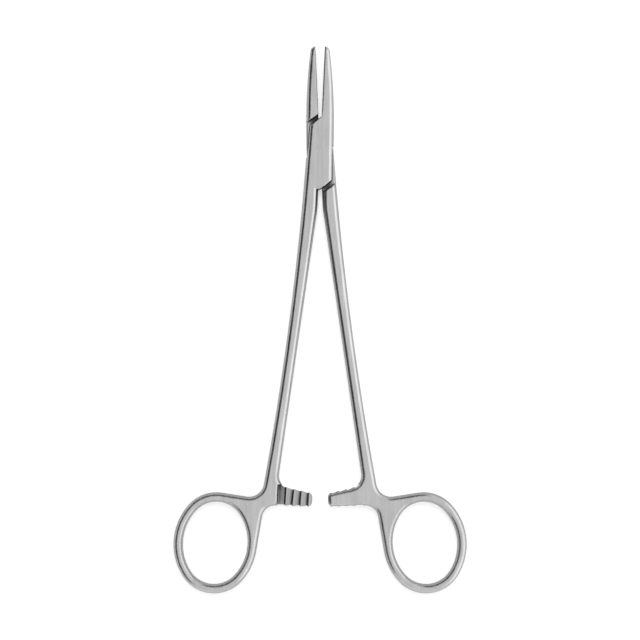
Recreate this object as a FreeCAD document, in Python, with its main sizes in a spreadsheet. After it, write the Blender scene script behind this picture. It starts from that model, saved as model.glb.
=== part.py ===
import FreeCAD, Part
import math
import os
import Sketcher
from FreeCAD import Vector

# A ring-handled surgical needle holder with a box lock, lying on its side.
# Millimetres and degrees. The pivot axis stands on the origin, +Y runs to the jaw tips and +Z is up.
# Each half is drawn closed, with the plane where the jaws meet at X = 0 and the mid-plane at Z = 0:
# its jaw lies at +X and its shank and finger ring at -X. The sides lean in from the mid-plane, up and
# down, as on a drop forging. The second half is the first turned over about Y, with a thin tongue
# where the first has its box. The halves are then opened about the pivot.

SIZES = [
    ("half_opening", 2.5, "each half is turned this far open at rest, degrees"),
    ("full_opening", 40.0, "jaw angle at which the tongue meets the ends of the box window, degrees"),
    ("face_gap", 0.03, "jaw face to the closing plane"),
    ("tip_reach", 34.7, "pivot to the tip of the jaws"),
    ("nose_radius", 1.75, "round of the closed tips seen from above"),
    ("jaw_start", 7.0, "pivot to where the flanks begin to narrow towards the tips"),
    ("box_half_width", 4.42, "flank to the closing plane beside the pivot"),
    ("box_thickness", 4.5, "box lock, across its cheeks"),
    ("jaw_tip_thickness", 2.4, "jaw at its tip"),
    ("jaw_taper_start", 13.0, "pivot to where the jaw starts to thin"),
    ("jaw_taper_blend", 120.0, "radius of the bend there"),
    ("shank_thickness", 3.8, "shank, ratchet root and finger ring"),
    ("shank_taper_start", 14.0, "pivot to where the shank starts to thin"),
    ("shank_taper_end", 46.0, "pivot to where it is down to its own thickness"),
    ("flank_radius", 1046.0, "long inward bow of the shank's outer side"),
    ("flank_end_x", 13.5, "closing plane to the outer side at the ring end"),
    ("flank_end_y", 107.8, "pivot to that point"),
    ("parting_end", 17.0, "pivot to the end of the straight parting face"),
    ("parting_blend", 30.0, "radius from the parting face to the shank's inner side"),
    ("arm_root_x", 9.15, "closing plane to the corner of shank and ratchet arm"),
    ("arm_root_y", 109.0, "pivot to that corner"),
    ("arm_root_fillet", 4.0, "inside corner there"),
    ("arm_overlap", 2.6, "ratchet arm past the closing plane, when closed"),
    ("arm_tip_top", 111.05, "pivot to the near side of the arm at its tip"),
    ("arm_bottom", 115.6, "pivot to the far side of the arm"),
    ("arm_tip_round", 1.7, "corners of the arm's tip"),
    ("web_fillet", 4.2, "inside corner of arm and finger ring"),
    ("saddle_fillet", 4.8, "inside corner of shank and finger ring"),
    ("ring_x", 28.6, "closing plane to the centre of the finger ring"),
    ("ring_near_end", 115.2, "pivot to the near end of the finger hole, level with its centre"),
    ("ring_half_width", 10.5, "finger hole, half its width"),
    ("ring_half_length", 13.4, "finger hole, half its length"),
    ("ring_end_radius", 9.0, "finger hole, radius of its ends"),
    ("ring_band", 3.15, "width of the ring's band"),
    ("ring_tilt", 2.5, "lean of the ring's long axis, degrees"),
    ("shoulder_slope", 6.5, "fall of the ring's shoulder towards the shank, degrees"),
    ("web_slope", 7.1, "lean of the ring's side up to the arm, degrees"),
    ("draft_angle", 22.0, "lean of the forging's sides, from the mid-plane up and down, degrees"),
    ("edge_bevel", 0.62, "ground bevel along the edges of the forging"),
    ("finger_bevel", 0.5, "ground bevel inside the finger ring"),
    ("jaw_bevel", 0.3, "bevel along the gripping face"),
    ("cheek_jaw_reach", 11.6, "pivot to the cheek's end beside the other jaw, along the closing plane"),
    ("cheek_shank_reach", 12.6, "pivot to the cheek's end beside the other shank, the same way"),
    ("cheek_slope", 41.5, "slant of the cheek's ends, degrees"),
    ("shoulder_gap", 0.9, "cheek's end to the shoulder that faces it, along the closing plane"),
    ("shoulder_lean", 33.5, "slant of the shoulders, degrees"),
    ("tongue_thickness", 1.7, "tongue through the box"),
    ("lock_clearance", 0.05, "tongue to cheek, each side"),
    ("window_clearance", 0.1, "round of the tongue to the end of the window"),
    ("pin_radius", 1.3, "pivot pin"),
    ("pin_clearance", 0.04, "pin to the tongue's bore, all round"),
    ("pin_head_cone", 0.45, "depth and flare of the pin's peened heads"),
    ("tooth_pitch", 2.5, "ratchet tooth to tooth"),
    ("tooth_depth", 0.8, "ratchet tooth"),
    ("tooth_back_lean", 33.0, "steep back of a tooth, from upright, degrees"),
    ("tooth_nose_run", 0.5, "eased stretch behind a tooth's crest, along the arm"),
    ("tooth_nose_fall", 24.0, "fall of that stretch, degrees"),
    ("tooth_count", 4.0, "ratchet teeth on each arm"),
    ("rack_gap", 0.05, "tooth crest to the mid-plane"),
    ("rack_y", 112.6, "pivot to the middle of the rack"),
    ("rack_width", 8.0, "cut for the rack, along the shank"),
    ("rack_root_x", 9.15, "closing plane to the wall behind the rack"),
    ("rack_root_fillet", 0.7, "foot of that wall"),
    ("groove_pitch", 1.0, "jaw serration, groove to groove along the jaw"),
    ("groove_depth", 0.18, "jaw serration"),
    ("groove_angle", 55.0, "serration to the jaw's length, degrees"),
    ("groove_start", 15.6, "pivot to the first groove, at mid-height"),
]


# How closely a point lies on a face or circle, and how steep or level a face is, to pick edges by.
TOUCH = 0.001
STEEP = 0.5
LEVEL = 0.9


def make_sheet(doc):
    """The driving dimensions, one to a row: name, value and what it measures."""
    sheet = doc.addObject("Spreadsheet::Sheet", "Sizes")
    for row, (alias, value, note) in enumerate(SIZES, start=1):
        sheet.set(f"A{row}", alias)
        sheet.set(f"B{row}", str(value))
        sheet.set(f"C{row}", note)
        sheet.setAlias(f"B{row}", alias)
    doc.recompute()
    return sheet


def unit(vector):
    """The vector at length one."""
    return Vector(vector).normalize()


def polar(angle, radius=1.0):
    """A vector in the plan at this angle from +X, in degrees."""
    return Vector(math.cos(math.radians(angle)), math.sin(math.radians(angle)), 0) * radius


def line_circle(point, direction, centre, radius):
    """Where a line from the point first leaves the circle, going along direction."""
    offset = point - centre
    along = offset.dot(direction)
    return point + direction * (math.sqrt(along**2 - offset.dot(offset) + radius**2) - along)


class Outline:
    """A closed chain of lines and arcs in a sketch, each end tied to the next one's start."""

    def __init__(self, sketch):
        self.sketch = sketch
        self.links = []

    def line(self, start, end):
        index = self.sketch.addGeometry(Part.LineSegment(start, end))
        self.links.append((index, 1, 2))
        return index

    def arc(self, centre, start, end, left=True, radius=None):
        """An arc that turns left, or right, from start to end; radius names the size that drives it."""
        begin, finish = (start, end) if left else (end, start)
        first = math.atan2(begin.y - centre.y, begin.x - centre.x)
        last = math.atan2(finish.y - centre.y, finish.x - centre.x)
        if last <= first:
            last += 2 * math.pi
        circle = Part.Circle(centre, Vector(0, 0, 1), (start - centre).Length)
        index = self.sketch.addGeometry(Part.ArcOfCircle(circle, first, last))
        self.links.append((index, 1, 2) if left else (index, 2, 1))
        if radius:
            bind(self.sketch, Sketcher.Constraint("Radius", index, circle.Radius), radius)
        return index

    @staticmethod
    def corner(point, before, after, radius):
        """The round of a corner between two straight runs: centre, start, end, whether it turns left."""
        to_before = unit(before - point)
        to_after = unit(after - point)
        half = to_before.getAngle(to_after) / 2
        run = radius / math.tan(half)
        centre = point + unit(to_before + to_after) * (radius / math.sin(half))
        start = point + to_before * run
        end = point + to_after * run
        turn_left = to_before.cross(to_after).z < 0
        return centre, start, end, turn_left

    def close(self):
        for (index, _, end), (following, start, _) in zip(self.links, self.links[1:] + self.links[:1]):
            self.sketch.addConstraint(Sketcher.Constraint("Coincident", index, end, following, start))
        self.links = []


def bind(sketch, constraint, size):
    """Adds a dimension that a named size drives."""
    index = sketch.addConstraint(constraint)
    sketch.setExpression(f"Constraints[{index}]", f"Sizes.{size}")


def plane(body, role):
    """One of the body's own origin planes or axes."""
    return next(item for item in body.Origin.OriginFeatures if item.Role == role)


def add_sketch(body, name, role="XY_Plane", lift=None):
    """A sketch on an origin plane, lifted off it by a driven distance where one is named."""
    sketch = body.newObject("Sketcher::SketchObject", name)
    sketch.AttachmentSupport = (plane(body, role), [""])
    sketch.MapMode = "FlatFace"
    if lift:
        sketch.setExpression("AttachmentOffset.Base.z", lift)
    return sketch


def polygon(sketch, points):
    """A closed run of straight lines."""
    outline = Outline(sketch)
    for start, end in zip(points, points[1:] + points[:1]):
        outline.line(start, end)
    outline.close()


def pocket(body, sketch, name, depth=None, side="Symmetric", backward=False, along=None):
    """Cuts the sketch through everything or to a driven depth, both ways or to one side only."""
    cut = body.newObject("PartDesign::Pocket", name)
    cut.Profile = sketch
    if depth:
        cut.Type = "Length"
        cut.setExpression("Length", depth)
    else:
        cut.Type = "ThroughAll"
    cut.SideType = side
    cut.Reversed = backward
    if along is not None:
        cut.UseCustomVector = True
        cut.Direction = along
    return cut


def mirrored(body, feature, name):
    """The same cut on the other side of the mid-plane."""
    copy = body.newObject("PartDesign::Mirrored", name)
    copy.Originals = [feature]
    copy.MirrorPlane = (plane(body, "XY_Plane"), [""])
    body.Tip = copy
    return copy


def bevel(body, base, name, driven_by, wanted):
    """Bevels the edges for which wanted(edge, its two faces, its middle) holds."""
    shape = base.Shape
    names = []
    for number, edge in enumerate(shape.Edges, start=1):
        middle = edge.valueAt((edge.FirstParameter + edge.LastParameter) / 2)
        faces = shape.ancestorsOfType(edge, Part.Face)
        if len(faces) == 2 and wanted(edge, faces, middle):
            names.append(f"Edge{number}")
    feature = body.newObject("PartDesign::Chamfer", name)
    feature.Base = (base, names)
    feature.setExpression("Size", f"Sizes.{driven_by}")
    body.Tip = feature
    return feature


def normal_at(face, point):
    return face.normalAt(*face.Surface.parameter(point))


def is_rim(faces, middle):
    """True where a wall meets the top or the underside."""
    tilts = sorted(abs(normal_at(face, middle).z) for face in faces)
    return tilts[0] < STEEP and tilts[1] > LEVEL


def flank(size):
    """Centre of the shank's long outer arc."""
    near = Vector(-size("box_half_width"), 0, 0)
    far = Vector(-size("flank_end_x"), -size("flank_end_y"), 0)
    chord = far - near
    sideways = unit(Vector(chord.y, -chord.x, 0))
    radius = size("flank_radius")
    return (near + far) / 2 + sideways * math.sqrt(radius**2 - (chord.Length / 2) ** 2)


def crotch_y(size):
    """Where the shanks part: just past the cheek's end."""
    return -size("cheek_shank_reach") - size("face_gap")


def ring_middle(size):
    """Centre of the finger ring: the hole grows away from the ratchet arm."""
    return Vector(-size("ring_x"), -size("ring_near_end") - size("ring_half_length"), 0)


def ring_centres(size):
    """Side radius of the finger hole and the centres of its four arcs: right, bottom, left and top."""
    width = size("ring_half_width")
    length = size("ring_half_length")
    end = size("ring_end_radius")
    side = (width**2 + (length - end) ** 2 - end**2) / (2 * (width - end))
    middle = ring_middle(size)
    across = polar(-size("ring_tilt"))
    along = polar(90 - size("ring_tilt"))
    right = middle - across * (side - width)
    left = middle + across * (side - width)
    bottom = middle - along * (length - end)
    top = middle + along * (length - end)
    return side, right, bottom, left, top


def draw_forging(sketch, size):
    """The forging from above: closed jaws, box, shank, ratchet arm and finger ring in one outline."""
    outline = Outline(sketch)
    bow = flank(size)
    bow_radius = size("flank_radius")

    def on_flank(y):
        return Vector(bow.x + math.sqrt(bow_radius**2 - (y - bow.y) ** 2), y, 0)

    def across(point):
        return Vector(-point.x, point.y, 0)

    # The jaw's flank runs on from the shank's and meets the round of the nose.
    shoulder = on_flank(size("jaw_start"))
    outward = unit(shoulder - bow)
    nose = size("nose_radius")
    nose_centre = Vector(0, size("tip_reach") - nose, 0)
    back = shoulder - nose_centre
    jaw_radius = (nose**2 - back.dot(back)) / (2 * (back.dot(outward) + nose))
    jaw_centre = shoulder + outward * jaw_radius
    nose_start = nose_centre + unit(nose_centre - jaw_centre) * nose

    # The shank's inner side: a straight parting face, a bend and a straight run to the ratchet arm.
    gap = size("face_gap")
    crotch = Vector(-gap, crotch_y(size), 0)
    parting = Vector(-gap, -size("parting_end"), 0)
    bend = size("parting_blend")
    bend_centre = parting - Vector(bend, 0, 0)
    root = Vector(-size("arm_root_x"), -size("arm_root_y"), 0)
    to_root = root - bend_centre
    turn = math.degrees(math.acos(bend / to_root.Length))
    bend_end = bend_centre + polar(math.degrees(math.atan2(to_root.y, to_root.x)) + turn, bend)

    # The ratchet arm and the finger ring's outer side.
    arm_top = Vector(size("arm_overlap"), -size("arm_tip_top"), 0)
    arm_end = Vector(size("arm_overlap"), -size("arm_bottom"), 0)
    side, right, bottom, left, top = ring_centres(size)
    band = size("ring_band")
    side_radius = side + band
    end_radius = size("ring_end_radius") + band
    web_lean = size("web_slope")
    web_touch = right + polar(-web_lean, side_radius)
    web_rise = polar(90 - web_lean)
    web = web_touch + web_rise * ((arm_end.y - web_touch.y) / web_rise.y)
    slope = size("shoulder_slope")
    ring_top = top + polar(90 - slope, end_radius)
    fall = polar(-slope)
    saddle = size("saddle_fillet")
    saddle_centre = line_circle(ring_top + polar(90 - slope, saddle), fall, bow, bow_radius - saddle)
    saddle_start = saddle_centre - polar(90 - slope, saddle)
    saddle_end = bow + unit(saddle_centre - bow) * bow_radius

    root_corner = outline.corner(root, bend_end, arm_top, size("arm_root_fillet"))
    tip_corner = outline.corner(arm_top, root, arm_end, size("arm_tip_round"))
    end_corner = outline.corner(arm_end, arm_top, web, size("arm_tip_round"))
    web_corner = outline.corner(web, arm_end, web_touch, size("web_fillet"))

    outline.arc(bow, saddle_end, shoulder, left=True, radius="flank_radius")
    outline.arc(jaw_centre, shoulder, nose_start, left=False)
    outline.arc(nose_centre, nose_start, across(nose_start), left=False, radius="nose_radius")
    outline.arc(across(jaw_centre), across(nose_start), across(shoulder), left=False)
    block_end = across(on_flank(crotch.y))
    outline.arc(across(bow), across(shoulder), block_end, left=True, radius="flank_radius")
    outline.line(block_end, crotch)
    outline.line(crotch, parting)
    outline.arc(bend_centre, parting, bend_end, left=False, radius="parting_blend")
    last = bend_end
    rounds = (
        (root_corner, "arm_root_fillet"),
        (tip_corner, "arm_tip_round"),
        (end_corner, "arm_tip_round"),
        (web_corner, "web_fillet"),
    )
    for (centre, start, end, left_turn), driven_by in rounds:
        outline.line(last, start)
        outline.arc(centre, start, end, left=left_turn, radius=driven_by)
        last = end
    outline.line(last, web_touch)
    joints = [centre + unit(centre - other) * radius for centre, other, radius in (
        (bottom, right, end_radius),
        (bottom, left, end_radius),
        (top, left, end_radius),
    )]
    outline.arc(right, web_touch, joints[0], left=False)
    outline.arc(bottom, joints[0], joints[1], left=False)
    outline.arc(left, joints[1], joints[2], left=False)
    outline.arc(top, joints[2], ring_top, left=False)
    outline.line(ring_top, saddle_start)
    outline.arc(saddle_centre, saddle_start, saddle_end, left=True, radius="saddle_fillet")
    outline.close()


def draw_finger_hole(sketch, size):
    """The finger hole from above: two flat side arcs and two tighter ends."""
    outline = Outline(sketch)
    side, right, bottom, left, top = ring_centres(size)
    end = size("ring_end_radius")
    corners = [centre + unit(centre - other) * end for centre, other in (
        (top, right), (bottom, right), (bottom, left), (top, left))]
    outline.arc(right, corners[0], corners[1], left=False)
    outline.arc(bottom, corners[1], corners[2], left=False, radius="ring_end_radius")
    outline.arc(left, corners[2], corners[3], left=False)
    outline.arc(top, corners[3], corners[0], left=False, radius="ring_end_radius")
    outline.close()


def draw_side_waste(sketch, size):
    """What is ground off above the forging, seen from the side: jaws and shank thin away from the box."""
    box = size("box_thickness") / 2
    thin = size("shank_thickness") / 2
    clear = size("box_thickness")
    taper = Vector(size("jaw_taper_start"), box, 0)
    run = size("tip_reach") - taper.x
    fall = (box - size("jaw_tip_thickness") / 2) / run
    beyond = taper + Vector(1, -fall, 0) * (run + clear)
    start = Vector(-size("shank_taper_start"), box, 0)
    end = Vector(-size("shank_taper_end"), thin, 0)
    middle = (start + end) / 2
    half = (end - start) / 2
    bend = half.dot(half) / (2 * (box - middle.y))
    far = ring_middle(size).y - size("ring_half_length") - size("ring_band") - clear
    outline = Outline(sketch)
    centre, first, last, left_turn = outline.corner(taper, beyond, start, size("jaw_taper_blend"))
    outline.line(beyond, first)
    outline.arc(centre, first, last, left=left_turn, radius="jaw_taper_blend")
    outline.line(last, start)
    outline.arc(start - Vector(0, bend, 0), start, middle, left=True)
    outline.arc(end + Vector(0, bend, 0), middle, end, left=False)
    outline.line(end, Vector(far, thin, 0))
    outline.line(Vector(far, thin, 0), Vector(far, clear, 0))
    outline.line(Vector(far, clear, 0), Vector(beyond.x, clear, 0))
    outline.line(Vector(beyond.x, clear, 0), beyond)
    outline.close()


def lean_both_ways(feature, angle):
    """Runs the feature from the mid-plane up and down past both faces, its walls at this angle."""
    feature.SideType = "Two sides"
    for length, lean in (("Length", "TaperAngle"), ("Length2", "TaperAngle2")):
        feature.setExpression(length, "Sizes.box_thickness / 2")
        feature.setExpression(lean, angle)


def make_forging(doc, name, size):
    """The body of one half before its lock is cut: outline, side taper and ground edges."""
    body = doc.addObject("PartDesign::Body", name)
    body.Label = name
    plan = add_sketch(body, name + "_plan")
    draw_forging(plan, size)
    blank = body.newObject("PartDesign::Pad", name + "_blank")
    blank.Profile = plan
    lean_both_ways(blank, "-Sizes.draft_angle")
    opening = add_sketch(body, name + "_finger_opening")
    draw_finger_hole(opening, size)
    hole = pocket(body, opening, name + "_finger_hole", "Sizes.box_thickness / 2")
    lean_both_ways(hole, "Sizes.draft_angle")
    side = add_sketch(body, name + "_side", "YZ_Plane")
    draw_side_waste(side, size)
    upper = pocket(body, side, name + "_upper_taper")
    doc.recompute()
    taper = mirrored(body, upper, name + "_lower_taper")
    doc.recompute()

    middle = ring_middle(size)
    reach = size("ring_half_length") + size("ring_band") / 2
    crotch = crotch_y(size)

    def in_ring(point):
        return Vector(point.x - middle.x, point.y - middle.y, 0).Length < reach

    def inside_hole(faces, point):
        wall = min(faces, key=lambda face: abs(normal_at(face, point).z))
        outward = normal_at(wall, point)
        return in_ring(point) and outward.dot(middle - point) > 0

    ground = bevel(body, taper, name + "_ground_edges", "edge_bevel", lambda edge, faces, point: (
        is_rim(faces, point) and abs(point.y - crotch) > TOUCH and not inside_hole(faces, point)))
    doc.recompute()
    bevel(body, ground, name + "_finger_edges", "finger_bevel", lambda edge, faces, point: (
        is_rim(faces, point) and inside_hole(faces, point)))
    doc.recompute()
    return body


def far_corner(size):
    """A distance that clears the jaws and box in every direction."""
    return size("tip_reach") + size("box_thickness")


def cut_first_lock(doc, body, size):
    """The box: the other half's jaw and shank are cut away, and a window runs between two cheeks."""
    gap = size("face_gap")
    far = far_corner(size)
    drop = (far + gap) * math.tan(math.radians(size("cheek_slope")))
    reaches = (size("cheek_jaw_reach"), size("cheek_shank_reach"))
    for name, turn, reach in zip(("jaw_side", "shank_side"), (1, -1), reaches):
        waste = [
            Vector(gap, reach, 0),
            Vector(gap, far, 0),
            Vector(-far, far, 0),
            Vector(-far, reach - drop, 0),
        ]
        sketch = add_sketch(body, f"{body.Name}_{name}")
        polygon(sketch, [point * turn for point in waste])
        pocket(body, sketch, f"{body.Name}_{name}_cut")

    window = add_sketch(body, f"{body.Name}_window")
    radius = size("box_half_width") + size("window_clearance")
    stop = size("full_opening")
    face_end = Vector(gap, math.sqrt(radius**2 - gap**2), 0)
    touch = polar(stop, radius)
    leave = touch + polar(stop - 90, far)
    outline = Outline(window)
    for turn, reach, next_reach in ((1, *reaches), (-1, *reversed(reaches))):
        top = Vector(gap, reach + gap, 0) * turn
        following = Vector(gap, next_reach + gap, 0) * -turn
        corner = Vector(leave.x, -far, 0) * turn
        inner_corner = Vector(following.x, corner.y, 0)
        outline.line(top, face_end * turn)
        outline.arc(Vector(0, 0, 0), face_end * turn, touch * turn, left=False)
        outline.line(touch * turn, leave * turn)
        outline.line(leave * turn, corner)
        outline.line(corner, inner_corner)
        outline.line(inner_corner, following)
    outline.close()
    pocket(body, window, f"{body.Name}_window_cut", "Sizes.tongue_thickness + 2 * Sizes.lock_clearance")

    bore = add_sketch(body, f"{body.Name}_bore")
    circle = bore.addGeometry(Part.Circle(Vector(0, 0, 0), Vector(0, 0, 1), size("pin_radius")))
    bore.addConstraint(Sketcher.Constraint("Coincident", circle, 3, -1, 1))
    bind(bore, Sketcher.Constraint("Radius", circle, size("pin_radius")), "pin_radius")
    drilled = pocket(body, bore, f"{body.Name}_bore_cut")
    doc.recompute()
    face = size("box_thickness") / 2
    bore_radius = size("pin_radius")

    def round_bore(edge, faces, point):
        on_face = abs(abs(point.z) - face) < TOUCH
        return on_face and abs(math.hypot(point.x, point.y) - bore_radius) < TOUCH

    bevel(body, drilled, f"{body.Name}_head_seats", "pin_head_cone", round_bore)
    doc.recompute()


def cut_second_lock(doc, body, size):
    """The tongue: both sides of it are cut back to a round about the pivot, then its faces are lowered."""
    gap = size("face_gap")
    far = far_corner(size)
    radius = size("box_half_width")
    face_end = Vector(gap, math.sqrt(radius**2 - gap**2), 0)
    for name, turn in (("jaw_side", 1), ("shank_side", -1)):
        sketch = add_sketch(body, f"{body.Name}_{name}")
        outline = Outline(sketch)
        outline.arc(Vector(0, 0, 0), Vector(-radius, 0, 0) * turn, face_end * turn, left=False)
        outer = [Vector(gap, far, 0), Vector(-far, far, 0), Vector(-far, 0, 0)]
        points = [face_end] + outer + [Vector(-radius, 0, 0)]
        for start, end in zip(points, points[1:]):
            outline.line(start * turn, end * turn)
        outline.close()
        pocket(body, sketch, f"{body.Name}_{name}_cut")

    faces = add_sketch(body, f"{body.Name}_tongue", lift="Sizes.tongue_thickness / 2")
    drop = far * math.tan(math.radians(size("shoulder_lean")))
    points = []
    for turn, cheek in ((1, "cheek_jaw_reach"), (-1, "cheek_shank_reach")):
        reach = size(cheek) + size("shoulder_gap")
        shoulder = [Vector(-far, reach, 0), Vector(0, reach, 0), Vector(far, reach - drop, 0)]
        points += [point * turn for point in shoulder]
    polygon(faces, points)
    lowered = pocket(body, faces, f"{body.Name}_upper_face", side="One side", backward=True)
    doc.recompute()
    mirrored(body, lowered, f"{body.Name}_lower_face")

    bore = add_sketch(body, f"{body.Name}_bore")
    loose = size("pin_radius") + size("pin_clearance")
    circle = bore.addGeometry(Part.Circle(Vector(0, 0, 0), Vector(0, 0, 1), loose))
    bore.addConstraint(Sketcher.Constraint("Coincident", circle, 3, -1, 1))
    index = bore.addConstraint(Sketcher.Constraint("Radius", circle, loose))
    bore.setExpression(f"Constraints[{index}]", "Sizes.pin_radius + Sizes.pin_clearance")
    pocket(body, bore, f"{body.Name}_bore_cut")
    doc.recompute()


def cut_rack(doc, body, size):
    """The ratchet arm is halved in thickness, and teeth with steep backs are cut across it, all
    pointing at the pivot. Each tooth's steep back faces its own shank, and its nose is eased."""
    pitch = size("tooth_pitch")
    crest = -size("rack_gap")
    valley = crest - size("tooth_depth")
    clear = size("box_thickness")
    wall = -size("rack_root_x")
    last_back = pitch / 2 - (size("tooth_count") - 1) * pitch
    past_tip = size("arm_overlap") + pitch
    back_run = size("tooth_depth") * math.tan(math.radians(size("tooth_back_lean")))
    nose_run = size("tooth_nose_run")
    nose_drop = nose_run * math.tan(math.radians(size("tooth_nose_fall")))
    half = add_sketch(body, f"{body.Name}_rack", "XZ_Plane", "Sizes.rack_y")
    outline = Outline(half)
    floor_end = Vector(last_back - back_run, valley, 0)
    foot = Vector(wall, valley, 0)
    top = Vector(wall, clear, 0)
    centre, start, end, left_turn = outline.corner(foot, top, floor_end, size("rack_root_fillet"))
    outline.line(top, start)
    outline.arc(centre, start, end, left=left_turn, radius="rack_root_fillet")
    outline.line(end, floor_end)
    back = [floor_end, Vector(last_back, crest, 0)]
    open_end = [Vector(past_tip, crest, 0), Vector(past_tip, clear, 0), top]
    rest = back + open_end
    for begin, finish in zip(rest, rest[1:]):
        outline.line(begin, finish)
    outline.close()
    pocket(body, half, f"{body.Name}_rack_cut", "Sizes.rack_width")

    tooth = add_sketch(body, f"{body.Name}_tooth", "XZ_Plane", "Sizes.rack_y")
    near = pitch / 2
    polygon(tooth, [
        Vector(near, crest, 0),
        Vector(near + nose_run, crest - nose_drop, 0),
        Vector(near + pitch - back_run, valley, 0),
        Vector(near + pitch, crest, 0),
        Vector(near + pitch, clear, 0),
        Vector(near, clear, 0),
    ])
    gap = pocket(body, tooth, f"{body.Name}_tooth_cut", "Sizes.rack_width")
    doc.recompute()
    teeth = body.newObject("PartDesign::PolarPattern", f"{body.Name}_teeth")
    teeth.Originals = [gap]
    teeth.Axis = (plane(body, "Z_Axis"), [""])
    teeth.Mode = "Spacing"
    teeth.Reversed = True
    teeth.setExpression("Offset", "Sizes.tooth_pitch / Sizes.rack_y * 180 / pi")
    teeth.setExpression("Occurrences", "Sizes.tooth_count")
    body.Tip = teeth
    doc.recompute()


def cut_face_bevel(doc, body, size):
    """The bevel between gripping face and jaw top, cut from the tip to the shoulder up the thinning
    jaw, and the same below."""
    wide = size("jaw_bevel")
    thickness = size("jaw_tip_thickness") / 2
    corner = Vector(size("face_gap"), thickness, 0)
    sketch = add_sketch(body, f"{body.Name}_face_bevel", "XZ_Plane", "-Sizes.tip_reach")
    polygon(sketch, [
        corner + Vector(-1, -2, 0) * wide,
        corner + Vector(2, 1, 0) * wide,
        corner + Vector(-1, 1, 0) * wide,
    ])
    rise = size("box_thickness") / 2 - thickness
    run = size("tip_reach") - size("jaw_taper_start")
    cut = pocket(body, sketch, f"{body.Name}_upper_face_bevel",
                 "Sizes.tip_reach - Sizes.cheek_jaw_reach - Sizes.shoulder_gap",
                 side="One side", along=Vector(0, -run, rise))
    doc.recompute()
    mirrored(body, cut, f"{body.Name}_lower_face_bevel")
    doc.recompute()


def cut_jaw_face(doc, body, size):
    """The gripping face: a small bevel along it and two crossing sets of slanting V grooves."""
    cut_face_bevel(doc, body, size)
    gap = size("face_gap")
    depth = size("groove_depth")
    angle = math.radians(size("groove_angle"))
    half_width = depth / math.sin(angle)
    first = size("groove_start")
    count = "floor((Sizes.tip_reach - Sizes.groove_start) / Sizes.groove_pitch) + 1"
    for name, lean in (("rising", 1), ("falling", -1)):
        sketch = add_sketch(body, f"{body.Name}_{name}_groove")
        outer = gap - depth
        polygon(sketch, [
            Vector(gap + depth, first, 0),
            Vector(outer, first + 2 * half_width, 0),
            Vector(outer, first - 2 * half_width, 0),
        ])
        along = Vector(0, math.cos(angle), lean * math.sin(angle))
        groove = pocket(body, sketch, f"{body.Name}_{name}_groove_cut", along=along)
        doc.recompute()
        grooves = body.newObject("PartDesign::LinearPattern", f"{body.Name}_{name}_grooves")
        grooves.Originals = [groove]
        grooves.Direction = (plane(body, "Y_Axis"), [""])
        grooves.Mode = "Spacing"
        grooves.setExpression("Offset", "Sizes.groove_pitch")
        grooves.setExpression("Occurrences", count)
        body.Tip = grooves
        doc.recompute()


def make_pin(doc, name, size):
    """The pivot pin, peened into a cone at each end and ground flush with the cheeks."""
    body = doc.addObject("PartDesign::Body", name)
    body.Label = name
    sketch = add_sketch(body, name + "_half_section", "XZ_Plane")
    radius = size("pin_radius")
    cone = size("pin_head_cone")
    top = size("box_thickness") / 2
    polygon(sketch, [
        Vector(0, -top, 0),
        Vector(radius + cone, -top, 0),
        Vector(radius, cone - top, 0),
        Vector(radius, top - cone, 0),
        Vector(radius + cone, top, 0),
        Vector(0, top, 0),
    ])
    turned_pin = body.newObject("PartDesign::Revolution", name + "_turned")
    turned_pin.Profile = sketch
    turned_pin.ReferenceAxis = (plane(body, "Z_Axis"), [""])
    turned_pin.Angle = 360
    doc.recompute()
    return body


def main():
    doc = FreeCAD.newDocument("needle_holder")
    sheet = make_sheet(doc)

    def size(alias):
        return float(sheet.get(alias))

    first = make_forging(doc, "female_half", size)
    cut_first_lock(doc, first, size)
    second = make_forging(doc, "male_half", size)
    cut_second_lock(doc, second, size)
    for body in (first, second):
        cut_rack(doc, body, size)
        cut_jaw_face(doc, body, size)
    pin = make_pin(doc, "pivot_pin", size)

    middle = "vector(0; 0; Sizes.box_thickness / 2)"
    to_right = "rotationz(-Sizes.half_opening)"
    turned_over = "rotationz(Sizes.half_opening) * rotationy(180)"
    first.setExpression("Placement", f"placement({middle}; {to_right})")
    second.setExpression("Placement", f"placement({middle}; {turned_over})")
    pin.setExpression("Placement", f"placement({middle}; {to_right})")
    doc.recompute()

    for item in doc.Objects:
        if "Invalid" in item.State or "Error" in item.State:
            raise RuntimeError(f"{item.Label} did not build: {item.State}")
    os.makedirs("parts", exist_ok=True)
    for body in (first, second, pin):
        shape = body.Shape
        if shape.isNull() or not shape.isValid() or len(shape.Solids) != 1:
            raise RuntimeError(f"{body.Label} is not one valid solid")
        shape.exportStep(f"parts/{body.Label}.step")
        print(body.Label, round(shape.Volume, 3), "mm3", shape.BoundBox)


main()
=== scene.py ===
import math

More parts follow.
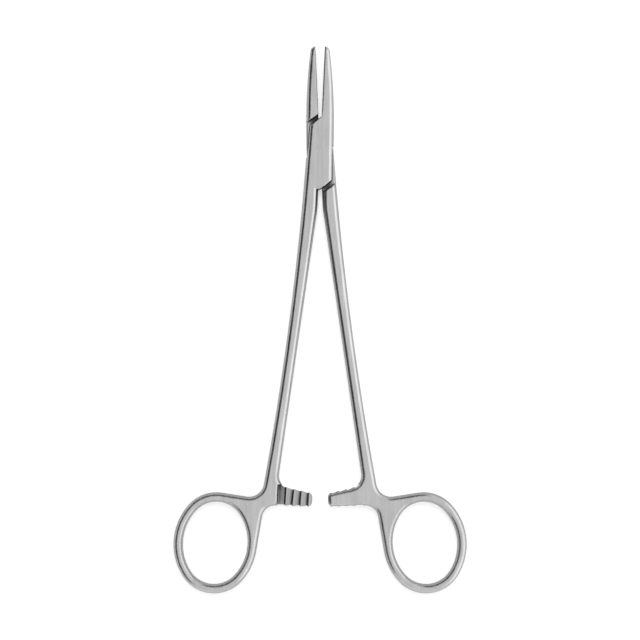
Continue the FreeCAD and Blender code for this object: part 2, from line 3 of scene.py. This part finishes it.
import bmesh
import bpy
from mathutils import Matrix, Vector


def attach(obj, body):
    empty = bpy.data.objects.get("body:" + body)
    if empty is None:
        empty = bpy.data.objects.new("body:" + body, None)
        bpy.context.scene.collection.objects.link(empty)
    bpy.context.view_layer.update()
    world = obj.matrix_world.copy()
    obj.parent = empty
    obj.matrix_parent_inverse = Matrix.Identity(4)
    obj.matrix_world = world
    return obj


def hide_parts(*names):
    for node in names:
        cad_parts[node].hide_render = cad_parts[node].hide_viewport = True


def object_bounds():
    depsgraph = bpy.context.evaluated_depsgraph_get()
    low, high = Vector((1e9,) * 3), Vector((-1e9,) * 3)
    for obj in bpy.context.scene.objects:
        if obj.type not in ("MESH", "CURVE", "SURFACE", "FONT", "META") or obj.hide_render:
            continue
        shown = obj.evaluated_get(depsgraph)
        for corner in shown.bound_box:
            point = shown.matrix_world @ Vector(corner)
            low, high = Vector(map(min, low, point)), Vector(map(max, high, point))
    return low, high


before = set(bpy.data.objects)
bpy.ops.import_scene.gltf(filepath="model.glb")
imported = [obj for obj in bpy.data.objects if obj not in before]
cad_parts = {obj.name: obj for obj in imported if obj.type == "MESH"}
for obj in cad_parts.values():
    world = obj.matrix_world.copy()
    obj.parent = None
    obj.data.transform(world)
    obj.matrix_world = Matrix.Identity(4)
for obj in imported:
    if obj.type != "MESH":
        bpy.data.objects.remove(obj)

# A surgical needle holder lying on white, seen from above. Everything is in metres.
# The origin is the pivot at the surface, +Y runs to the jaw tips and +Z is up.

cad_low, cad_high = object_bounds()
MM = 0.001

# The photograph: what one pixel measures, its side in pixels, and the pixel of the pivot.
# The lens is a guess: a long one, as such pictures are taken with.
PIXEL = 0.326 * MM
PHOTO_SIDE = 640
PIVOT_X = 320.1
PIVOT_Y = 152.5
LENS_MM = 100.0
SENSOR_MM = 36.0

# The mesh: what is welded, and what counts as flat and as a crease.
WELD = 0.002 * MM
FLAT_DEGREES = 0.5
CREASE_DEGREES = 5.0

# The rounding of the ground edges. It leaves out corners where an edge is shorter than SHORT,
# and its new faces carry the material index STRIP until their normals are set.
EDGE_ROUND = 0.12 * MM
SHORT = 0.2 * MM
ROUND_SEGMENTS = 3
STRIP = 1

# The forging's outer faces by the upward part of their normal: top, ground bevel and leaning side,
# and which of them meet at an edge that is rounded.
OUTER_FACES = ((0.985, 1.0), (0.79, 0.88), (0.3, 0.45))
GROUND_PAIRS = ({0, 1}, {1, 2}, {2})
FACE_SLACK = 0.001

# A face beside a rounded edge lends its normal where the two agree by at least this cosine.
BESIDE = 0.7

# The steel: its colour and how far each noise moves it. Marks, bands and clouds are long in Y,
# along the forging.
STEEL_TONE = 0.5
MARKS_SCALE = (4200, 110, 4200)
BANDS_SCALE = (900, 30, 900)
CLOUDS_SCALE = (240, 120, 240)
GRAIN_SCALE = 4200.0
NOISE_RANGE = (0.3, 0.7)
MARKS_SHADE = 0.02
BANDS_SHADE = 0.03
CLOUDS_SHADE = 0.025

# The steel's roughness from its grain, what the clouds add to it, and the depths of the bumps.
GRAIN_RANGE = (0.25, 0.75)
ROUGHNESS = (0.2, 0.28)
CLOUDS_ROUGHNESS = (-0.03, 0.04)
MARKS_DEPTH = 0.003 * MM
GRAIN_DEPTH = 0.0015 * MM

# Painted shade in the steel's colour: darker in crevices by how open they are, on leaning sides
# by the upward part of their normal, and on the ratchet's cuts.
CREVICE = 3.0 * MM
CREVICE_RANGE = (0.55, 0.88)
PAINTED_CREVICE_SHADE = 0.03
SIDE_RANGE = (0.4, 0.75)
PAINTED_SIDE_SHADE = 0.56
PAINTED_CUT_SHADE = 0.7
SHADER_SAMPLES = 8

# Where polishing has softened the edges and how far, at the least and over shanks and rings.
# It stops short of the pin's head.
FORGING_EDGE = 0.12 * MM
PIN_EDGE = 0.03 * MM
SOFT_RADIUS = 0.8 * MM
RING_RADIUS = 1.5 * MM
RING_FROM = -118 * MM
RING_TO = -95 * MM
PIN_CLEAR = (2.6 * MM, 3.5 * MM)

# The fine cuts that polishing left crisp: the ratchet's teeth, by place, and the jaws' inner faces.
RACK_X = 14.2 * MM
RACK_Y = (-119 * MM, -107 * MM)
RACK_DEPTH = 1.05 * MM
MID_HEIGHT = 2.25 * MM
JAW_Y = 12 * MM
GRIP_SOFTNESS = 0.2

# The white board: its colour, the light added where it is seen, how far it reaches and how far
# it lies under the object.
FLOOR_TONE = 0.8
FLOOR_LIFT = 0.64
FLOOR_REACH = 6.0
FLOOR_GAP = 0.02 * MM

# The black screen that stands round two sides of the object, from one angle to another.
SCREEN_TONE = 0.09
SCREEN_CENTRE = Vector((0, -0.055, 0))
SCREEN_RADIUS = 0.3
SCREEN_HEIGHT = 0.28
SCREEN_FROM = 72
SCREEN_TO = 236
SCREEN_STEPS = 12

# The lamps: place, width, height and watts. Both point near the object's middle.
LAMP_TARGET = (0, -0.05, 0)
OVERHEAD = ((0.0, 0.7, 1.1), 0.6, 0.6, 5.0)
RIGHT_BOX = ((0.6, -0.15, 0.25), 1.3, 0.44, 1.3)

# The white round about: its strength as light on the object, and as what is seen.
WORLD_LIGHT = 0.45
WORLD_SEEN = 1.0


def new_material(name):
    """An empty node tree and its output node."""
    material = bpy.data.materials.new(name)
    material.use_nodes = True
    tree = material.node_tree
    tree.nodes.clear()
    return material, tree, tree.nodes.new("ShaderNodeOutputMaterial")


def grey(tone):
    """A colour of equal parts."""
    return (tone, tone, tone, 1)


def noise(tree, vector, scale, detail, roughness=0.5):
    """A three-dimensional noise, from 0 to 1."""
    node = tree.nodes.new("ShaderNodeTexNoise")
    node.inputs["Scale"].default_value = scale
    node.inputs["Detail"].default_value = detail
    node.inputs["Roughness"].default_value = roughness
    tree.links.new(vector, node.inputs["Vector"])
    return node.outputs["Fac"]


def long_noise(tree, vector, scales, detail):
    """A noise with a scale of its own on each axis."""
    node = tree.nodes.new("ShaderNodeMapping")
    node.inputs["Scale"].default_value = scales
    tree.links.new(vector, node.inputs["Vector"])
    return noise(tree, node.outputs["Vector"], 1.0, detail)


def ramp(tree, value, low, high, to_low, to_high):
    """The value moved from one range to another, and kept in it."""
    node = tree.nodes.new("ShaderNodeMapRange")
    node.inputs["From Min"].default_value = low
    node.inputs["From Max"].default_value = high
    node.inputs["To Min"].default_value = to_low
    node.inputs["To Max"].default_value = to_high
    tree.links.new(value, node.inputs["Value"])
    return node.outputs["Result"]


def combine(tree, operation, first, second):
    """Two values, or a value and a number, put together."""
    node = tree.nodes.new("ShaderNodeMath")
    node.operation = operation
    for socket, item in zip(node.inputs, (first, second)):
        if isinstance(item, float):
            socket.default_value = item
        else:
            tree.links.new(item, socket)
    return node.outputs["Value"]


def bump(tree, height, distance, normal):
    """A normal tilted by a height map of that depth."""
    node = tree.nodes.new("ShaderNodeBump")
    node.inputs["Strength"].default_value = 1.0
    node.inputs["Distance"].default_value = distance
    tree.links.new(height, node.inputs["Height"])
    tree.links.new(normal, node.inputs["Normal"])
    return node.outputs["Normal"]


def axis_of(tree, vector, axis):
    """One coordinate of a vector."""
    node = tree.nodes.new("ShaderNodeSeparateXYZ")
    tree.links.new(vector, node.inputs[0])
    return node.outputs[axis]


def from_pivot(tree, place):
    """The distance from the pivot's axis."""
    level = tree.nodes.new("ShaderNodeVectorMath")
    level.operation = "MULTIPLY"
    level.inputs[1].default_value = (1, 1, 0)
    tree.links.new(place, level.inputs[0])
    reach = tree.nodes.new("ShaderNodeVectorMath")
    reach.operation = "LENGTH"
    tree.links.new(level.outputs["Vector"], reach.inputs[0])
    return reach.outputs["Value"]


def steel(name, edge_radius, painted_cut_shade):
    """Satin stainless steel: long grinding marks, a fine matt grain, soft clouds, and painted shade
    in crevices, on leaning sides and on the ratchet's cuts.
    """
    material, tree, output = new_material(name)
    place = tree.nodes.new("ShaderNodeTexCoord").outputs["Object"]
    marks = long_noise(tree, place, MARKS_SCALE, 3.0)
    bands = long_noise(tree, place, BANDS_SCALE, 2.0)
    clouds = long_noise(tree, place, CLOUDS_SCALE, 4.0)
    grain = noise(tree, place, GRAIN_SCALE, 2.0, roughness=0.6)
    # The polish mask also marks the ratchet's cuts, where painted shade darkens the colour.
    polish_and_cut_shade = tree.nodes.new("ShaderNodeAttribute")
    polish_and_cut_shade.attribute_name = "soft"

    shade = combine(tree, "ADD", ramp(tree, clouds, *NOISE_RANGE, -CLOUDS_SHADE, CLOUDS_SHADE),
                    ramp(tree, marks, *NOISE_RANGE, -MARKS_SHADE, MARKS_SHADE))
    shade = combine(tree, "ADD", shade, ramp(tree, bands, *NOISE_RANGE, -BANDS_SHADE, BANDS_SHADE))
    level = combine(tree, "ADD", shade, STEEL_TONE)
    # Painted shade: the colour darkens in crevices by how open they are.
    shelter = tree.nodes.new("ShaderNodeAmbientOcclusion")
    shelter.samples = SHADER_SAMPLES
    shelter.inputs["Distance"].default_value = CREVICE
    # Painted shade on leaning sides, by the upward part of their true normal.
    normal = tree.nodes.new("ShaderNodeNewGeometry").outputs["True Normal"]
    upright = combine(tree, "ABSOLUTE", axis_of(tree, normal, "Z"), 0.0)
    # Painted shade in the colour: in crevices, on leaning sides and on the ratchet's cuts.
    for painted_shade in (ramp(tree, shelter.outputs["AO"], *CREVICE_RANGE, PAINTED_CREVICE_SHADE, 1.0),
                   ramp(tree, upright, *SIDE_RANGE, PAINTED_SIDE_SHADE, 1.0),
                   ramp(tree, polish_and_cut_shade.outputs["Fac"], 0.0, GRIP_SOFTNESS, painted_cut_shade, 1.0)):
        level = combine(tree, "MULTIPLY", level, painted_shade)
    colour = tree.nodes.new("ShaderNodeCombineColor")
    for channel in colour.inputs:
        tree.links.new(level, channel)

    dull = combine(tree, "ADD", ramp(tree, grain, *GRAIN_RANGE, *ROUGHNESS),
                   ramp(tree, clouds, *NOISE_RANGE, *CLOUDS_ROUGHNESS))

    clear = ramp(tree, from_pivot(tree, place), *PIN_CLEAR, 0.0, 1.0)
    soft = combine(tree, "MULTIPLY", polish_and_cut_shade.outputs["Fac"], clear)
    along = axis_of(tree, place, "Y")
    rounding = ramp(tree, along, RING_FROM, RING_TO, RING_RADIUS, SOFT_RADIUS)
    rounding = combine(tree, "MAXIMUM", combine(tree, "MULTIPLY", soft, rounding), edge_radius)
    edge = tree.nodes.new("ShaderNodeBevel")
    edge.samples = SHADER_SAMPLES
    tree.links.new(rounding, edge.inputs["Radius"])
    normal = bump(tree, marks, MARKS_DEPTH, edge.outputs["Normal"])
    normal = bump(tree, grain, GRAIN_DEPTH, normal)

    shader = tree.nodes.new("ShaderNodeBsdfPrincipled")
    shader.inputs["Metallic"].default_value = 1.0
    tree.links.new(colour.outputs["Color"], shader.inputs["Base Color"])
    tree.links.new(dull, shader.inputs["Roughness"])
    tree.links.new(normal, shader.inputs["Normal"])
    tree.links.new(shader.outputs["BSDF"], output.inputs["Surface"])
    return material


def seen_light(tree):
    """1 for what is seen, directly, in steel or through glass, and 0 for light on the object."""
    path = tree.nodes.new("ShaderNodeLightPath")
    seen = combine(tree, "MAXIMUM", path.outputs["Is Camera Ray"], path.outputs["Is Glossy Ray"])
    return combine(tree, "MAXIMUM", seen, path.outputs["Is Transmission Ray"])


def floor_material():
    """White board: it takes the object's shadow, and is lifted to white where it is seen."""
    material, tree, output = new_material("white_board")
    paint = tree.nodes.new("ShaderNodeBsdfDiffuse")
    paint.inputs["Color"].default_value = grey(FLOOR_TONE)
    lift = tree.nodes.new("ShaderNodeEmission")
    strength = combine(tree, "MULTIPLY", seen_light(tree), FLOOR_LIFT)
    tree.links.new(strength, lift.inputs["Strength"])
    both = tree.nodes.new("ShaderNodeAddShader")
    tree.links.new(paint.outputs["BSDF"], both.inputs[0])
    tree.links.new(lift.outputs["Emission"], both.inputs[1])
    tree.links.new(both.outputs["Shader"], output.inputs["Surface"])
    return material


def card_material():
    """Black card beside the object, which draws the dark lines along its edges."""
    material, tree, output = new_material("black_card")
    card = tree.nodes.new("ShaderNodeBsdfDiffuse")
    card.inputs["Color"].default_value = grey(SCREEN_TONE)
    tree.links.new(card.outputs["BSDF"], output.inputs["Surface"])
    return material


def ground_copy(node, name, body):
    """The node's own form with its outer edges rounded, as grinding and polishing leave them."""
    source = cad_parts[node].data
    work = bmesh.new()
    work.from_mesh(source)
    facing = work.loops.layers.float_vector.new("facing")
    normals = iter(source.corner_normals)
    for face in work.faces:
        face.smooth = True
        for corner in face.loops:
            corner[facing] = next(normals).vector
    bmesh.ops.remove_doubles(work, verts=work.verts, dist=WELD)
    for edge in work.edges:
        edge.smooth = not is_crease(edge, facing)
    bmesh.ops.dissolve_limit(work, angle_limit=math.radians(FLAT_DEGREES), verts=work.verts,
                             edges=work.edges, delimit={"SHARP"})
    tight = {vert for edge in work.edges if edge.calc_length() < SHORT for vert in edge.verts}
    ground = [edge for edge in work.edges
              if is_ground(edge, facing) and not tight & set(edge.verts)]
    bmesh.ops.bevel(work, geom=ground, offset=EDGE_ROUND, offset_type="OFFSET", affect="EDGES",
                    segments=ROUND_SEGMENTS, profile=0.5, clamp_overlap=False, material=STRIP)
    work.normal_update()
    normals = [corner_normal(corner, facing) for face in work.faces for corner in face.loops]
    soft = work.faces.layers.float.new("soft")
    for face in work.faces:
        face.material_index = 0
        face[soft] = softness(face)
    work.loops.layers.float_vector.remove(facing)
    mesh = bpy.data.meshes.new(name)
    work.to_mesh(mesh)
    work.free()
    mesh.normals_split_custom_set(normals)
    piece = bpy.data.objects.new(name, mesh)
    bpy.context.scene.collection.objects.link(piece)
    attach(piece, body)
    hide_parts(node)
    return piece


def softness(face):
    """How far polishing reached: not the ratchet's cuts, which also get painted shade, and hardly
    the jaws' gripping faces.
    """
    middle = face.calc_center_bounds()
    in_rack = abs(middle.x) < RACK_X and RACK_Y[0] < middle.y < RACK_Y[1]
    if in_rack and abs(middle.z - MID_HEIGHT) < RACK_DEPTH:
        return 0.0
    if middle.y > JAW_Y and face.normal.x * middle.x < 0:
        return GRIP_SOFTNESS
    return 1.0


def is_crease(edge, facing):
    """True where the form turns sharply: the two faces' own normals differ along the edge."""
    if len(edge.link_faces) != 2:
        return True
    for vert in edge.verts:
        first, second = [corner[facing] for face in edge.link_faces
                         for corner in face.loops if corner.vert == vert]
        if first.angle(second) > math.radians(CREASE_DEGREES):
            return True
    return False


def is_ground(edge, facing):
    """True for the edges of the forging's outline, not for those of jaws, lock and ratchet."""
    if edge.smooth or len(edge.link_faces) != 2 or not edge.is_convex:
        return False
    kinds = set()
    for face in edge.link_faces:
        up = [abs(corner[facing].z) for corner in face.loops if corner.vert in edge.verts]
        kinds.add(next((kind for kind, (low, high) in enumerate(OUTER_FACES)
                        if low < min(up) and max(up) < high + FACE_SLACK), None))
    return kinds in GROUND_PAIRS


def corner_normal(corner, facing):
    """The shading normal: the form's own, and on a rounded edge that of the face beside it."""
    if corner.face.material_index != STRIP:
        return corner[facing].normalized()
    beside = [other[facing] for other in corner.vert.link_loops
              if other.face.material_index != STRIP]
    near = [normal for normal in beside if normal.dot(corner.face.normal) > BESIDE]
    return sum(near, Vector()).normalized() if near else corner.vert.normal.copy()


def area_lamp(name, place, wide, high, power):
    """A soft box that the camera doesn't see."""
    lamp = bpy.data.lights.new(name, "AREA")
    lamp.shape = "RECTANGLE"
    lamp.size = wide
    lamp.size_y = high
    lamp.energy = power
    holder = bpy.data.objects.new(name, lamp)
    holder.location = place
    aim = Vector(LAMP_TARGET) - Vector(place)
    holder.rotation_euler = aim.to_track_quat("-Z", "Y").to_euler()
    holder.visible_camera = False
    bpy.context.scene.collection.objects.link(holder)
    return holder


def board(name, corners, faces, material):
    """A sheet of the studio, which isn't part of the object."""
    mesh = bpy.data.meshes.new(name)
    mesh.from_pydata(corners, [], faces)
    mesh.materials.append(material)
    sheet = bpy.data.objects.new(name, mesh)
    bpy.context.scene.collection.objects.link(sheet)
    return sheet


def make_floor():
    far = FLOOR_REACH
    under = cad_low.z - FLOOR_GAP
    corners = [(-far, -far, under), (far, -far, under), (far, far, under), (-far, far, under)]
    board("floor", corners, [(0, 1, 2, 3)], floor_material())


def make_screen():
    """The black card stands upright, and only the steel sees it."""
    corners = []
    for step in range(SCREEN_STEPS + 1):
        turn = math.radians(SCREEN_FROM + (SCREEN_TO - SCREEN_FROM) * step / SCREEN_STEPS)
        foot = SCREEN_CENTRE + Vector((math.cos(turn), math.sin(turn), 0)) * SCREEN_RADIUS
        corners += [foot, foot + Vector((0, 0, SCREEN_HEIGHT))]
    faces = [(2 * step, 2 * step + 2, 2 * step + 3, 2 * step + 1) for step in range(SCREEN_STEPS)]
    screen = board("black_screen", corners, faces, card_material())
    screen.visible_camera = False
    screen.visible_shadow = False
    screen.visible_diffuse = False


def make_lights():
    """The overhead lamp lights the floor, and the right box draws the bright lines on the steel."""
    overhead = area_lamp("overhead", *OVERHEAD)
    overhead.visible_glossy = False
    area_lamp("right_box", *RIGHT_BOX)

    world = bpy.data.worlds.new("studio")
    bpy.context.scene.world = world
    world.use_nodes = True
    tree = world.node_tree
    background = tree.nodes["Background"]
    strength = ramp(tree, seen_light(tree), 0.0, 1.0, WORLD_LIGHT, WORLD_SEEN)
    tree.links.new(strength, background.inputs["Strength"])
    background.inputs["Color"].default_value = grey(1.0)


def make_camera():
    """Straight above, so far off that the photograph's square fits its pixels."""
    side = PHOTO_SIDE * PIXEL
    lens = bpy.data.cameras.new("camera")
    lens.lens = LENS_MM
    lens.sensor_width = SENSOR_MM
    camera = bpy.data.objects.new("camera", lens)
    centre_x = (PHOTO_SIDE / 2 - PIVOT_X) * PIXEL
    centre_y = (PIVOT_Y - PHOTO_SIDE / 2) * PIXEL
    camera.location = (centre_x, centre_y, side * LENS_MM / SENSOR_MM + cad_high.z / 2)
    bpy.context.scene.collection.objects.link(camera)
    bpy.context.scene.camera = camera


def main():
    forged = steel("forged_steel", FORGING_EDGE, PAINTED_CUT_SHADE)
    pin = steel("pin_steel", PIN_EDGE, 1.0)
    finishes = {"female_half": forged, "male_half": forged, "pivot_pin": pin}
    for node, material in finishes.items():
        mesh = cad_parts[node].data
        mesh.materials.clear()
        mesh.materials.append(material)
    for node, body in (("female_half", "female_body"), ("male_half", "male_body")):
        piece = ground_copy(node, node.replace("half", "forging"), body)
        piece.data.materials.append(forged)
    make_floor()
    make_screen()
    make_lights()
    make_camera()
    bpy.context.scene.view_settings.view_transform = "Standard"


main()
